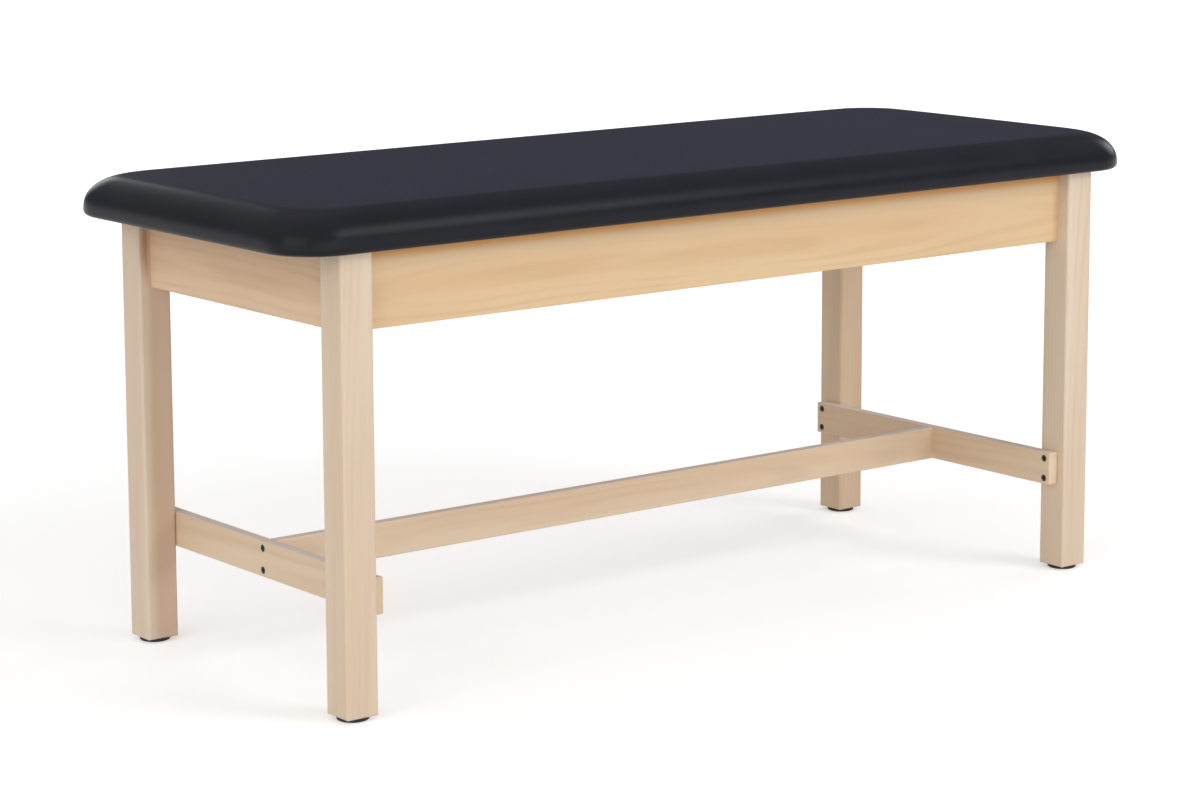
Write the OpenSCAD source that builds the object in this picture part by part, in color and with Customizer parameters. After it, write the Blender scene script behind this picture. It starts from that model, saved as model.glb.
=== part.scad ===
// Examination table: an upholstered pad on a bolted hardwood frame with an H brace.
// Millimetres. The origin is on the floor under the middle of the table.
// +X runs along the table, +Y across it to the back long side, +Z up.

/* [Pad] */
// Length of the pad, along the table
pad_length = 1829; // [1500:1:2100]
// Width of the pad, across the table
pad_width = 711; // [610:1:800]
// Thickness of the foam on top of the board
foam_thickness = 50; // [30:1:80]
// Thickness of the plywood board that carries the foam
board_thickness = 16; // [12:1:22]
// Thickness of the vinyl cover
vinyl_thickness = 1; // [0.6:0.1:1.5]
// Radius of the soft roll along the pad's top edge
top_roll = 50; // [20:1:60]
// Radius of the tuck along the pad's bottom edge
bottom_roll = 9; // [6:1:18]
// Radius of the pad's corners, seen from above
pad_corner_radius = 82; // [75:1:120]
// Width of the vinyl turned in and stapled under the board
flange_width = 120; // [25:1:140]
// How far the board's edge lies inside the tuck along the bottom edge
board_inset = 1.5; // [1:0.5:8]
// Clearance between the foam and what encloses it
foam_clearance = 0.3; // [0.2:0.1:0.5]

/* [Frame] */
// How far the pad stands out past the legs at each end
end_overhang = 92; // [60:1:150]
// How far the pad stands out past the legs along each side
side_overhang = 21.5; // [15:0.5:45]

/* [Legs] */
// Length of a leg's wood, without the glide
leg_length = 734; // [500:1:800]
// Side of the square leg
leg_side = 60; // [56:1:76]
// Radius on a leg's long edges
leg_edge_radius = 5.5; // [2:0.5:8]
// Chamfer round a leg's lower end
leg_foot_chamfer = 2; // [1:0.5:4]
// Depth of the flat on a leg's inner corner, where the corner bolt enters
leg_flat_depth = 6; // [4:0.5:8]

/* [Aprons] */
// Height of the apron boards
apron_height = 127; // [112:1:160]
// Thickness of the apron boards
apron_thickness = 20; // [18:1:24]
// Setback of a side apron from the legs' outer faces
side_apron_setback = 27; // [20:1:30]
// Setback of an end apron from the legs' outer faces
end_apron_setback = 22; // [20:1:30]
// Radius on the aprons' long edges
apron_edge_radius = 1.5; // [0.5:0.5:4]

/* [Stretchers] */
// Height of the stretcher boards
stretcher_height = 60; // [50:1:80]
// Thickness of the stretcher boards
stretcher_thickness = 22; // [20:1:28]
// Height of the stretchers' lower edges above the legs' lower ends
stretcher_rise = 156; // [100:1:300]
// How far an end stretcher stops short of the legs' outer faces
end_stretcher_setback = 16; // [8:1:20]
// Radius on the stretchers' edges
stretcher_edge_radius = 2.5; // [1:0.5:5]

/* [Cross rail] */
// Width of the flat rail under the middle of the pad
rail_width = 70; // [50:1:100]
// Thickness of the cross rail
rail_thickness = 22; // [20:1:30]

/* [Glides] */
// Diameter of the round glide under a leg
glide_diameter = 52; // [36:1:54]
// Height of a glide
glide_height = 7; // [6:0.5:12]
// Radius round a glide's lower edge
glide_edge_radius = 2.5; // [1:0.5:4]
// Diameter of the nail that holds a glide
nail_diameter = 3.5; // [3:0.1:5]
// How far the nail goes into the leg
nail_depth = 24; // [15:1:35]
// Diameter of the nail's head, moulded into the glide
nail_head_diameter = 16; // [10:1:20]
// Thickness of the nail's head
nail_head_thickness = 2; // [1:0.1:2.5]
// Plastic between the nail's head and the floor
glide_sole_thickness = 3; // [2:0.1:3.4]

/* [Stretcher bolts] */
// Diameter of a bolt's shank
bolt_diameter = 6; // [5:0.5:8]
// Diameter of a bolt's round head
bolt_head_diameter = 12; // [10:0.5:14]
// Height of a bolt's head
bolt_head_height = 3.5; // [3:0.1:5]
// Depth of a head's top below the wood's face
bolt_sink = 0.4; // [0:0.1:1.5]
// Size of the hexagonal key socket, across its corners
bolt_key_size = 4.6; // [4:0.1:5.5]
// Depth of the key socket
bolt_key_depth = 2.2; // [1.5:0.1:2.8]
// Distance from the stretcher's edges to the middles of a pair of bolts
bolt_edge_distance = 11.5; // [9.5:0.5:16]
// Clearance round a bolt in its hole
bolt_clearance = 0.3; // [0.2:0.1:0.6]
// Length of the shank of a bolt into a leg
leg_bolt_length = 36; // [30:1:45]
// Length of the shank of a bolt into the long stretcher
brace_bolt_length = 60; // [52:1:75]
// Outer diameter of the threaded insert in a leg
insert_diameter = 10; // [9:0.5:12]
// Length of a threaded insert
insert_length = 18; // [12:1:25]
// Diameter of the barrel nut in the long stretcher
barrel_diameter = 10; // [10:0.5:13]
// Length of a barrel nut
barrel_length = 16; // [12:1:18]
// Distance from the long stretcher's end to its barrel nuts
barrel_distance = 30; // [22:1:36]
// Width and depth of the driver slot in a barrel nut
barrel_slot = 1.2; // [0.8:0.1:2]

/* [Corner joints] */
// Diameter of the dowels
dowel_diameter = 10; // [8:0.5:10]
// Length of the dowels between aprons and legs
dowel_length = 50; // [36:1:52]
// Depth of a rail dowel in the side apron
rail_dowel_depth = 12; // [8:1:14]
// Length of a rail dowel
rail_dowel_length = 36; // [25:1:50]
// Thickness of a corner block
block_thickness = 28; // [26:1:32]
// Height of a corner block
block_height = 56; // [50:1:60]
// Gap between a corner block and the leg's corner
block_gap = 2; // [1:0.5:4]
// Width of the blunt ends of a corner block
block_tip = 6; // [4:1:8]
// Diameter of the corner bolt
hanger_diameter = 8; // [6:0.5:9]
// How far the corner bolt screws into the leg
hanger_depth = 40; // [25:1:42]
// Length of the corner bolt that stands past its nut
hanger_tail = 4; // [2:1:8]
// Size of the corner bolt's nut, across its corners
nut_size = 15; // [13.5:0.1:17]
// Height of the nut
nut_height = 6.5; // [5:0.5:8]
// Diameter of the washer under the nut
washer_diameter = 22; // [17:1:24]
// Thickness of the washer
washer_thickness = 2; // [1:0.1:3]

/* [Wood screws] */
// Diameter of a screw's shank
screw_diameter = 4; // [3.5:0.1:4.5]
// Diameter of a screw's head
screw_head_diameter = 8; // [7:0.1:8.5]
// Height of a screw's head
screw_head_height = 2.6; // [2:0.1:3]
// Length of a block screw under its head
block_screw_length = 28; // [22:1:30]
// Wood of the corner block held under a block screw's head
block_screw_grip = 14; // [12:1:16]
// Wood held under a top screw's head
top_screw_grip = 18; // [15:1:19]
// Wood of the board left above the tip of a top screw
top_screw_cover = 4; // [2:0.5:6]
// Clearance round a dowel, screw, nail or insert in its hole
drill_clearance = 0.1; // [0.05:0.05:0.3]
// Room left past the tip of a dowel, bolt, screw or nail
tip_room = 1; // [0.5:0.1:1.5]

/* [Hidden] */

// One overrun serves every cut
over = 1;
round_fn = 48;
small_fn = 32;

// Overall sizes that follow from the pad and the overhangs
frame_length = pad_length - 2 * end_overhang;
frame_width = pad_width - 2 * side_overhang;
frame_top = glide_height + leg_length;
pad_thickness = foam_thickness + board_thickness + 2 * vinyl_thickness;
board_bottom = frame_top + vinyl_thickness;

// Inner faces of the aprons, in a corner's own coordinates
side_apron_inside = side_apron_setback + apron_thickness;
end_apron_inside = end_apron_setback + apron_thickness;

// Middle lines of the stretchers and of their bolt pairs
stretcher_middle = glide_height + stretcher_rise + stretcher_height / 2;
bolt_offset = stretcher_height / 2 - bolt_edge_distance;
bolt_heights = [stretcher_middle - bolt_offset, stretcher_middle + bolt_offset];
head_pocket_depth = bolt_head_height + bolt_sink;

// Lowest and middle heights of the corner blocks
block_bottom = frame_top - block_height;
hanger_z = frame_top - block_height / 2;

// Dowel heights are shares of the apron's height below the corner block
side_dowel_shares = [0.42, 0.95];
end_dowel_shares = [0.19, 0.72];
apron_bottom = frame_top - apron_height;
dowel_zone = apron_height - block_height;

// Places of the screws along a block's end face, as shares of that face
block_screw_share = 0.36;
top_screw_share = 0.68;
// Heights of the block screws above and below the middle, as a share of the block's height
block_screw_spread_share = 0.31;
// Places of the screws and dowels on the cross rail, as shares of its length and width
rail_screw_shares = [-0.36, 0, 0.36];
rail_dowel_shares = [-0.26, 0.26];

// Flat top of a wood screw's head, as a share of its radius
head_flat_share = 0.6;

// A top screw goes through the vinyl turned in under the board, and into the board
top_screw_length = top_screw_grip + vinyl_thickness + board_thickness - top_screw_cover;

// The pad's round edges, limited by its thickness
top_radius = min(top_roll, pad_thickness - bottom_roll - vinyl_thickness);
corner_steps = 8;
bottom_steps = 4;
top_steps = 8;

maple = [0.85, 0.77, 0.67];
beech = [0.87, 0.74, 0.54];
ply = [0.80, 0.69, 0.52];
vinyl = [0.20, 0.20, 0.23];
foam = [0.88, 0.86, 0.74];
blackened = [0.12, 0.12, 0.13];
zinc = [0.72, 0.73, 0.75];
brass = [0.78, 0.64, 0.36];
nylon = [0.07, 0.07, 0.07];

// Placement

// Puts its children at the corner on side sx, sy. There x and y run inwards from the leg's outer faces.
module at_corner(sx, sy) {
    translate([sx * frame_length / 2, sy * frame_width / 2, 0])
        mirror([sx > 0 ? 1 : 0, 0, 0])
            mirror([0, sy > 0 ? 1 : 0, 0])
                children();
}

module each_corner() {
    for (sx = [-1, 1], sy = [-1, 1])
        at_corner(sx, sy) children();
}

// Puts its children at an end of the table. There x runs inwards from the legs' outer faces.
module at_end(sx) {
    translate([sx * frame_length / 2, 0, 0])
        mirror([sx > 0 ? 1 : 0, 0, 0])
            children();
}

// Points +Z of its children along +X, -X, +Y or -Y
module along_x() { rotate([0, 90, 0]) children(); }
module against_x() { rotate([0, -90, 0]) children(); }
module along_y() { rotate([-90, 0, 0]) children(); }
module against_y() { rotate([90, 0, 0]) children(); }

// Points +Z of its children inwards along the diagonal, from the leg's inner corner
module along_diagonal() {
    translate([leg_side, leg_side, hanger_z])
        rotate([0, 0, 45])
            along_x() children();
}

// Plain shapes

module rounded_rect(l, w, r) {
    square([l - 2 * r, w], center = true);
    square([l, w - 2 * r], center = true);
    for (sx = [-1, 1], sy = [-1, 1])
        translate([sx * (l / 2 - r), sy * (w / 2 - r)])
            circle(r = r, $fn = small_fn);
}

// A board with every edge eased
module eased_board(l, w, h, r) {
    intersection() {
        linear_extrude(h, center = true) rounded_rect(l, w, r);
        rotate([90, 0, 90]) linear_extrude(l, center = true) rounded_rect(w, h, r);
        rotate([90, 0, 0]) linear_extrude(w, center = true) rounded_rect(l, h, r);
    }
}

// A board with its long edges eased and its ends cut square, to butt against its neighbours
module butted_board(l, w, h, r) {
    rotate([90, 0, 90]) linear_extrude(l, center = true) rounded_rect(w, h, r);
}

// A hole or a peg: a cylinder up +Z from zero
module peg(d, l) {
    cylinder(d = d, h = l, $fn = round_fn);
}

// A dowel with both ends chamfered, and the hole for it
module dowel(l) {
    c = dowel_diameter / 8;
    r = dowel_diameter / 2;
    rotate_extrude($fn = round_fn)
        polygon([[0, 0], [r - c, 0], [r, c], [r, l - c], [r - c, l], [0, l]]);
}

module dowel_hole(l) {
    translate([0, 0, -tip_room])
        peg(dowel_diameter + 2 * drill_clearance, l + 2 * tip_room);
}

// Stretcher bolt: its head's top is at zero and its shank runs up +Z
module stretcher_bolt(shank) {
    ease = bolt_head_height / 7;
    head_r = bolt_head_diameter / 2;
    shank_r = bolt_diameter / 2;
    tip = bolt_head_height + shank;
    difference() {
        rotate_extrude($fn = round_fn)
            polygon([
                [0, 0], [head_r - ease, 0], [head_r, ease], [head_r, bolt_head_height],
                [shank_r, bolt_head_height], [shank_r, tip - ease], [shank_r - ease, tip], [0, tip]
            ]);
        translate([0, 0, -over])
            cylinder(d = bolt_key_size, h = bolt_key_depth + over, $fn = 6);
    }
}

// The hole for a stretcher bolt, from the wood's face: a pocket for the head, then the shank's hole
module bolt_hole(depth) {
    translate([0, 0, -over])
        peg(bolt_head_diameter + 2 * bolt_clearance, head_pocket_depth + over);
    peg(bolt_diameter + 2 * bolt_clearance, depth);
}

// Wood screw: the underside of its head is at zero and it points up +Z
module wood_screw(l) {
    head_r = screw_head_diameter / 2;
    r = screw_diameter / 2;
    rotate_extrude($fn = small_fn)
        polygon([
            [0, -screw_head_height], [head_r * head_flat_share, -screw_head_height],
            [head_r, -screw_head_height / 2], [head_r, 0], [r, 0], [r, l - 2 * r], [0, l]
        ]);
}

// The hole for a wood screw: a pocket behind the head and a pilot for the shank
module screw_hole(l, pocket) {
    translate([0, 0, -pocket])
        peg(screw_head_diameter + 4 * drill_clearance, pocket);
    peg(screw_diameter + 2 * drill_clearance, l + tip_room);
}

// Hardware in its place. Each set is used twice, as the pieces and as the holes for them.

module place_side_dowels() {
    for (share = side_dowel_shares)
        translate([leg_side - dowel_length / 2, side_apron_setback + apron_thickness / 2,
                   apron_bottom + share * dowel_zone])
            along_x() children();
}

module place_end_dowels() {
    for (share = end_dowel_shares)
        translate([end_apron_setback + apron_thickness / 2, leg_side - dowel_length / 2,
                   apron_bottom + share * dowel_zone])
            along_y() children();
}

module place_rail_dowels() {
    for (sy = [-1, 1], share = rail_dowel_shares)
        mirror([0, sy > 0 ? 1 : 0, 0])
            translate([share * rail_width, -rail_length / 2 - rail_dowel_depth,
                       frame_top - rail_thickness / 2])
                along_y() children();
}

module place_leg_bolts() {
    for (z = bolt_heights)
        translate([leg_side + stretcher_thickness - bolt_sink, leg_side / 2, z])
            against_x() children();
}

module place_leg_inserts() {
    for (z = bolt_heights)
        translate([leg_side, leg_side / 2, z])
            against_x() children();
}

module place_brace_bolts() {
    for (z = bolt_heights)
        translate([leg_side + bolt_sink, 0, z])
            along_x() children();
}

module place_barrel_nuts() {
    for (z = bolt_heights)
        translate([leg_side + stretcher_thickness + barrel_distance, barrel_length / 2, z])
            against_y() children();
}

// The diagonals that bound a corner block: the sums of x and y along its two long faces
block_near = 2 * leg_side + block_gap * sqrt(2);
block_far = block_near + block_thickness * sqrt(2);
// Where the block meets the side apron, along x, and the end apron, along y
side_seat_start = block_near - side_apron_inside;
side_seat_length = block_far - block_tip - block_near;
end_seat_start = block_near - end_apron_inside;
// Distance of a top screw from the apron's face
top_screw_inset = (screw_head_diameter + 4 * drill_clearance) / 2 + block_tip / 3;

module place_block_screws() {
    along = block_screw_share * side_seat_length;
    for (side = [-1, 1]) {
        z = hanger_z + side * block_screw_spread_share * block_height;
        translate([side_seat_start + along, side_apron_inside + block_screw_grip, z])
            against_y() children();
        translate([end_apron_inside + block_screw_grip, end_seat_start + along, z])
            against_x() children();
    }
}

module place_corner_top_screws() {
    along = top_screw_share * side_seat_length;
    z = frame_top - top_screw_grip;
    translate([side_seat_start + along, side_apron_inside + top_screw_inset, z]) children();
    translate([end_apron_inside + top_screw_inset, end_seat_start + along, z]) children();
}

module place_rail_top_screws() {
    for (share = rail_screw_shares)
        translate([0, share * rail_length, frame_top - top_screw_grip]) children();
}

module top_screw_holes(pocket) {
    each_corner() place_corner_top_screws() screw_hole(top_screw_length, pocket);
    place_rail_top_screws() screw_hole(top_screw_length, pocket);
}

// Legs

module leg_blank() {
    half = leg_side / 2;
    c = leg_foot_chamfer;
    profile = [
        [-half + c, 0], [half - c, 0], [half + over, c + over], [half + over, leg_length + over],
        [-half - over, leg_length + over], [-half - over, c + over]
    ];
    translate([half, half, glide_height])
        intersection() {
            linear_extrude(leg_length) rounded_rect(leg_side, leg_side, leg_edge_radius);
            rotate([90, 0, 0])
                linear_extrude(leg_side + 2 * over, center = true) polygon(profile);
            rotate([90, 0, 90])
                linear_extrude(leg_side + 2 * over, center = true) polygon(profile);
        }
}

// Depth in the leg of the hole for a leg bolt's tip
bolt_tip_depth = max(leg_bolt_length + head_pocket_depth - stretcher_thickness, insert_length);

module leg(sx, sy) {
    color(maple) at_corner(sx, sy) difference() {
        leg_blank();
        // Flat on the inner corner for the corner bolt
        along_diagonal()
            translate([-block_height / 2 - over, -leg_side / 2, -leg_flat_depth])
                cube([block_height + over, leg_side, leg_side]);
        along_diagonal()
            translate([0, 0, -leg_flat_depth - hanger_depth - tip_room])
                peg(hanger_diameter + 2 * drill_clearance, hanger_depth + tip_room + over);
        place_side_dowels() dowel_hole(dowel_length);
        place_end_dowels() dowel_hole(dowel_length);
        place_leg_inserts() translate([0, 0, -over])
            peg(insert_diameter + 2 * drill_clearance, insert_length + over);
        place_leg_inserts()
            peg(bolt_diameter + 2 * bolt_clearance, bolt_tip_depth + tip_room);
        translate([leg_side / 2, leg_side / 2, glide_height - over])
            peg(nail_diameter + 2 * drill_clearance, nail_depth + tip_room + over);
    }
}

// Aprons

side_apron_length = frame_length - 2 * leg_side;
end_apron_length = frame_width - 2 * leg_side;

module side_apron(sy) {
    y = frame_width / 2 - side_apron_setback - apron_thickness / 2;
    color(beech) difference() {
        translate([0, sy * y, frame_top - apron_height / 2])
            butted_board(side_apron_length, apron_thickness, apron_height, apron_edge_radius);
        for (sx = [-1, 1]) at_corner(sx, sy) {
            place_side_dowels() dowel_hole(dowel_length);
            place_block_screws() screw_hole(block_screw_length, block_screw_grip);
        }
        place_rail_dowels() dowel_hole(rail_dowel_length);
    }
}

module end_apron(sx) {
    x = frame_length / 2 - end_apron_setback - apron_thickness / 2;
    color(beech) difference() {
        translate([sx * x, 0, frame_top - apron_height / 2])
            rotate([0, 0, 90])
                butted_board(end_apron_length, apron_thickness, apron_height, apron_edge_radius);
        for (sy = [-1, 1]) at_corner(sx, sy) {
            place_end_dowels() dowel_hole(dowel_length);
            place_block_screws() screw_hole(block_screw_length, block_screw_grip);
        }
    }
}

module apron_dowels() {
    color(beech) each_corner() {
        place_side_dowels() dowel(dowel_length);
        place_end_dowels() dowel(dowel_length);
    }
}

// Corner blocks and the bolts that draw the legs into the corners

module block_outline() {
    x0 = end_apron_inside;
    y0 = side_apron_inside;
    polygon([
        [x0, block_near - x0], [block_near - y0, y0],
        [block_far - y0 - block_tip, y0], [block_far - y0 - block_tip, y0 + block_tip],
        [x0 + block_tip, block_far - x0 - block_tip], [x0, block_far - x0 - block_tip]
    ]);
}

module corner_block(sx, sy) {
    pocket = block_thickness * sqrt(2);
    color(maple) at_corner(sx, sy) difference() {
        translate([0, 0, block_bottom]) linear_extrude(block_height) block_outline();
        along_diagonal() translate([0, 0, block_gap - over])
            peg(hanger_diameter + 2 * bolt_clearance, block_thickness + 2 * over);
        place_block_screws() screw_hole(block_screw_length, pocket);
        place_corner_top_screws() screw_hole(top_screw_length, block_height);
    }
}

washer_start = block_gap + block_thickness;
nut_start = washer_start + washer_thickness;

module hanger_bolts() {
    l = hanger_depth + leg_flat_depth + nut_start + nut_height + hanger_tail;
    r = hanger_diameter / 2;
    color(zinc) each_corner() along_diagonal()
        translate([0, 0, -leg_flat_depth - hanger_depth])
            rotate_extrude($fn = round_fn)
                polygon([[0, 0], [r, 2 * r], [r, l - r / 4], [r - r / 4, l], [0, l]]);
}

module hanger_washers() {
    color(zinc) each_corner() along_diagonal() translate([0, 0, washer_start])
        difference() {
            peg(washer_diameter, washer_thickness);
            translate([0, 0, -over])
                peg(hanger_diameter + 2 * bolt_clearance, washer_thickness + 2 * over);
        }
}

module hanger_nuts() {
    color(zinc) each_corner() along_diagonal() translate([0, 0, nut_start])
        difference() {
            cylinder(d = nut_size, h = nut_height, $fn = 6);
            translate([0, 0, -over])
                peg(hanger_diameter + 2 * drill_clearance, nut_height + 2 * over);
        }
}

module block_screws() {
    color(zinc) each_corner() place_block_screws() wood_screw(block_screw_length);
}

// Cross rail under the middle of the pad

rail_length = frame_width - 2 * side_apron_inside;

module cross_rail() {
    color(beech) difference() {
        translate([0, 0, frame_top - rail_thickness / 2])
            rotate([0, 0, 90])
                butted_board(rail_length, rail_width, rail_thickness, apron_edge_radius);
        place_rail_dowels() dowel_hole(rail_dowel_length);
        place_rail_top_screws() screw_hole(top_screw_length, rail_thickness);
    }
}

module rail_dowels() {
    color(beech) place_rail_dowels() dowel(rail_dowel_length);
}

module top_screws() {
    color(zinc) {
        each_corner() place_corner_top_screws() wood_screw(top_screw_length);
        place_rail_top_screws() wood_screw(top_screw_length);
    }
}

// H brace

end_stretcher_length = frame_width - 2 * end_stretcher_setback;
long_stretcher_length = frame_length - 2 * (leg_side + stretcher_thickness);

module end_stretcher(sx) {
    color(maple) difference() {
        at_end(sx) translate([leg_side + stretcher_thickness / 2, 0, stretcher_middle])
            rotate([0, 0, 90])
                eased_board(end_stretcher_length, stretcher_thickness, stretcher_height,
                            stretcher_edge_radius);
        for (sy = [-1, 1])
            at_corner(sx, sy) place_leg_bolts() translate([0, 0, -bolt_sink])
                bolt_hole(stretcher_thickness + over);
        at_end(sx) place_brace_bolts() translate([0, 0, -bolt_sink])
            bolt_hole(stretcher_thickness + over);
    }
}

module long_stretcher() {
    reach = bolt_head_height + brace_bolt_length + tip_room;
    color(maple) difference() {
        translate([0, 0, stretcher_middle])
            butted_board(long_stretcher_length, stretcher_thickness, stretcher_height,
                         stretcher_edge_radius);
        for (sx = [-1, 1]) at_end(sx) {
            place_brace_bolts() peg(bolt_diameter + 2 * bolt_clearance, reach);
            place_barrel_nuts() translate([0, 0, -stretcher_thickness])
                peg(barrel_diameter + 2 * drill_clearance, barrel_length + stretcher_thickness);
        }
    }
}

module leg_bolts() {
    color(blackened) each_corner() place_leg_bolts() stretcher_bolt(leg_bolt_length);
}

module brace_bolts() {
    color(blackened) for (sx = [-1, 1])
        at_end(sx) place_brace_bolts() stretcher_bolt(brace_bolt_length);
}

module leg_inserts() {
    color(brass) each_corner() place_leg_inserts() difference() {
        peg(insert_diameter, insert_length);
        translate([0, 0, -over])
            peg(bolt_diameter + 2 * drill_clearance, insert_length + 2 * over);
    }
}

module barrel_nuts() {
    color(zinc) for (sx = [-1, 1]) at_end(sx) place_barrel_nuts() difference() {
        peg(barrel_diameter, barrel_length);
        translate([-barrel_diameter, 0, barrel_length / 2])
            along_x() peg(bolt_diameter + 2 * drill_clearance, 2 * barrel_diameter);
        translate([-barrel_diameter, -barrel_slot / 2, -over])
            cube([2 * barrel_diameter, barrel_slot, barrel_slot + over]);
    }
}

// Glides

module glide_profile() {
    r = glide_diameter / 2;
    e = glide_edge_radius;
    square([r - e, glide_height]);
    translate([0, e]) square([r, glide_height - e]);
    translate([r - e, e]) circle(r = e, $fn = small_fn);
}

module glide(sx, sy) {
    color(nylon) at_corner(sx, sy) translate([leg_side / 2, leg_side / 2, 0]) difference() {
        rotate_extrude($fn = 2 * round_fn)
            intersection() {
                glide_profile();
                square([glide_diameter, glide_height]);
            }
        translate([0, 0, glide_sole_thickness]) peg(nail_head_diameter, nail_head_thickness);
        translate([0, 0, glide_sole_thickness]) peg(nail_diameter, glide_height);
    }
}

module glide_nails() {
    r = nail_diameter / 2;
    tip = glide_height - glide_sole_thickness + nail_depth;
    head_r = nail_head_diameter / 2;
    color(zinc) each_corner()
        translate([leg_side / 2, leg_side / 2, glide_sole_thickness])
            rotate_extrude($fn = small_fn)
                polygon([
                    [0, 0], [head_r, 0], [head_r, nail_head_thickness],
                    [r, nail_head_thickness], [r, tip - 3 * r], [0, tip]
                ]);
}

// Pad

// The pad's edge from underneath to the top, a distance g inside its outer surface,
// as pairs of inset from the widest line and height above the underside
function edge_profile(g) = concat(
    [for (i = [0:bottom_steps]) let (a = 90 * i / bottom_steps)
        [g + (bottom_roll - g) * (1 - sin(a)), g + (bottom_roll - g) * (1 - cos(a))]],
    [for (i = [0:top_steps]) let (a = 90 * i / top_steps)
        [g + (top_radius - g) * (1 - cos(a)),
         pad_thickness - g - (top_radius - g) * (1 - sin(a))]]
);

// One rounded rectangle of points, inset from the pad's widest line
function pad_ring(inset, r, z) = [
    for (q = [0:3], i = [0:corner_steps])
        let (a = 90 * (q + i / corner_steps), sx = q == 0 || q == 3 ? 1 : -1, sy = q < 2 ? 1 : -1)
            [sx * (pad_length / 2 - inset - r) + r * cos(a),
             sy * (pad_width / 2 - inset - r) + r * sin(a),
             frame_top + z]
];

// The pad's rounded body, a distance g inside its outer surface
module pad_body(g) {
    profile = edge_profile(g);
    n = 4 * (corner_steps + 1);
    last = len(profile) - 1;
    points = [for (p = profile) each pad_ring(p[0], pad_corner_radius - g, p[1])];
    sides = [
        for (k = [0:last - 1], i = [0:n - 1])
            let (j = (i + 1) % n, a = k * n + i, b = k * n + j, c = b + n, d = a + n)
                each [[a, d, c], [a, c, b]]
    ];
    underside = [for (i = [0:n - 1]) i];
    top = [for (i = [n - 1:-1:0]) last * n + i];
    polyhedron(points = points, faces = concat([underside], sides, [top]));
}

board_margin = bottom_roll + board_inset;
board_length = pad_length - 2 * board_margin;
board_width = pad_width - 2 * board_margin;
board_corner_radius = pad_corner_radius;

module pad_board() {
    color(ply) difference() {
        translate([0, 0, board_bottom]) linear_extrude(board_thickness)
            rounded_rect(board_length, board_width, board_corner_radius);
        top_screw_holes(over);
    }
}

module pad_foam() {
    c = foam_clearance;
    color(foam) difference() {
        pad_body(vinyl_thickness + c);
        translate([0, 0, frame_top]) linear_extrude(vinyl_thickness + board_thickness)
            rounded_rect(board_length + 2 * c, board_width + 2 * c, board_corner_radius + c);
    }
}

module pad_cover() {
    color(vinyl) difference() {
        pad_body(0);
        pad_body(vinyl_thickness);
        translate([0, 0, frame_top - over]) linear_extrude(vinyl_thickness + 2 * over)
            rounded_rect(pad_length - 2 * flange_width, pad_width - 2 * flange_width,
                         pad_corner_radius);
        top_screw_holes(over);
    }
}

leg(-1, -1);  // leg_front_left
leg(1, -1);  // leg_front_right
leg(-1, 1);  // leg_back_left
leg(1, 1);  // leg_back_right
side_apron(-1);  // side_apron_front
side_apron(1);  // side_apron_back
end_apron(-1);  // end_apron_left
end_apron(1);  // end_apron_right
end_stretcher(-1);  // end_stretcher_left
end_stretcher(1);  // end_stretcher_right
long_stretcher();
cross_rail();
corner_block(-1, -1);  // corner_block_front_left
corner_block(1, -1);  // corner_block_front_right
corner_block(-1, 1);  // corner_block_back_left
corner_block(1, 1);  // corner_block_back_right
glide(-1, -1);  // glide_front_left
glide(1, -1);  // glide_front_right
glide(-1, 1);  // glide_back_left
glide(1, 1);  // glide_back_right
pad_board();
pad_foam();
pad_cover();
leg_bolts();
brace_bolts();
leg_inserts();
barrel_nuts();
apron_dowels();
rail_dowels();
hanger_bolts();
hanger_washers();
hanger_nuts();
block_screws();
top_screws();
glide_nails();
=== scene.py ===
# %% [markdown]
# # An examination table
#
# The table in this lesson is plain furniture: a long upholstered pad on a wooden frame with an
# H-shaped brace. The wooden pieces come ready-made, at their real size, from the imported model.
# What is left for Blender is everything that makes them look real: the pad's skin, the grain
# and colour of the wood, the dull black of the bolts, and a soft studio light.

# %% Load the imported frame
import math

import bmesh
import bpy
from mathutils import Euler, Matrix, Quaternion, Vector


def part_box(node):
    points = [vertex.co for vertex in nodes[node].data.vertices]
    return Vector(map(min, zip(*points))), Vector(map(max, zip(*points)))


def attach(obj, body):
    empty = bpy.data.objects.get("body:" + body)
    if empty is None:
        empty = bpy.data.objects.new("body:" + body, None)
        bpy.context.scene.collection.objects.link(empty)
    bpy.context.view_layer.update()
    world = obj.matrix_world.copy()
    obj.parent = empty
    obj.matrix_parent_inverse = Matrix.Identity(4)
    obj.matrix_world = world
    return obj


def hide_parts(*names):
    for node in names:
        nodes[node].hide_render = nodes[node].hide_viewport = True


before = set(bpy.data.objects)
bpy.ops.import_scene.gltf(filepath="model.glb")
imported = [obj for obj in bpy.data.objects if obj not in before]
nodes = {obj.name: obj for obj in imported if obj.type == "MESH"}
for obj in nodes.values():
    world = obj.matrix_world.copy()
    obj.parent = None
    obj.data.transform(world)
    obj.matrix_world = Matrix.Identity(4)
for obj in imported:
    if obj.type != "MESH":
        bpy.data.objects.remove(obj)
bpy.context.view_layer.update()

# %% [markdown]
# ## Camera
#
# The camera stands where the photographer stood. Its place and lens were worked out from the
# corners of the table, so the render can be laid over the photograph. A long lens from nearly six
# metres away keeps the legs nearly parallel. The small shift does what cropping a picture does: it
# slides the view without turning the camera.

# %% Place the camera
CAMERA_PLACE = (-3.498, -4.379, 1.4524)
CAMERA_YAW = math.radians(37.26)
CAMERA_PITCH = math.radians(8.71)
CAMERA_ROLL = math.radians(-0.33)
CAMERA_LENS = 96.61
CAMERA_SHIFT = (0.0411, -0.106)
SENSOR_WIDTH = 36
VIEW_RANGE = 200

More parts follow.
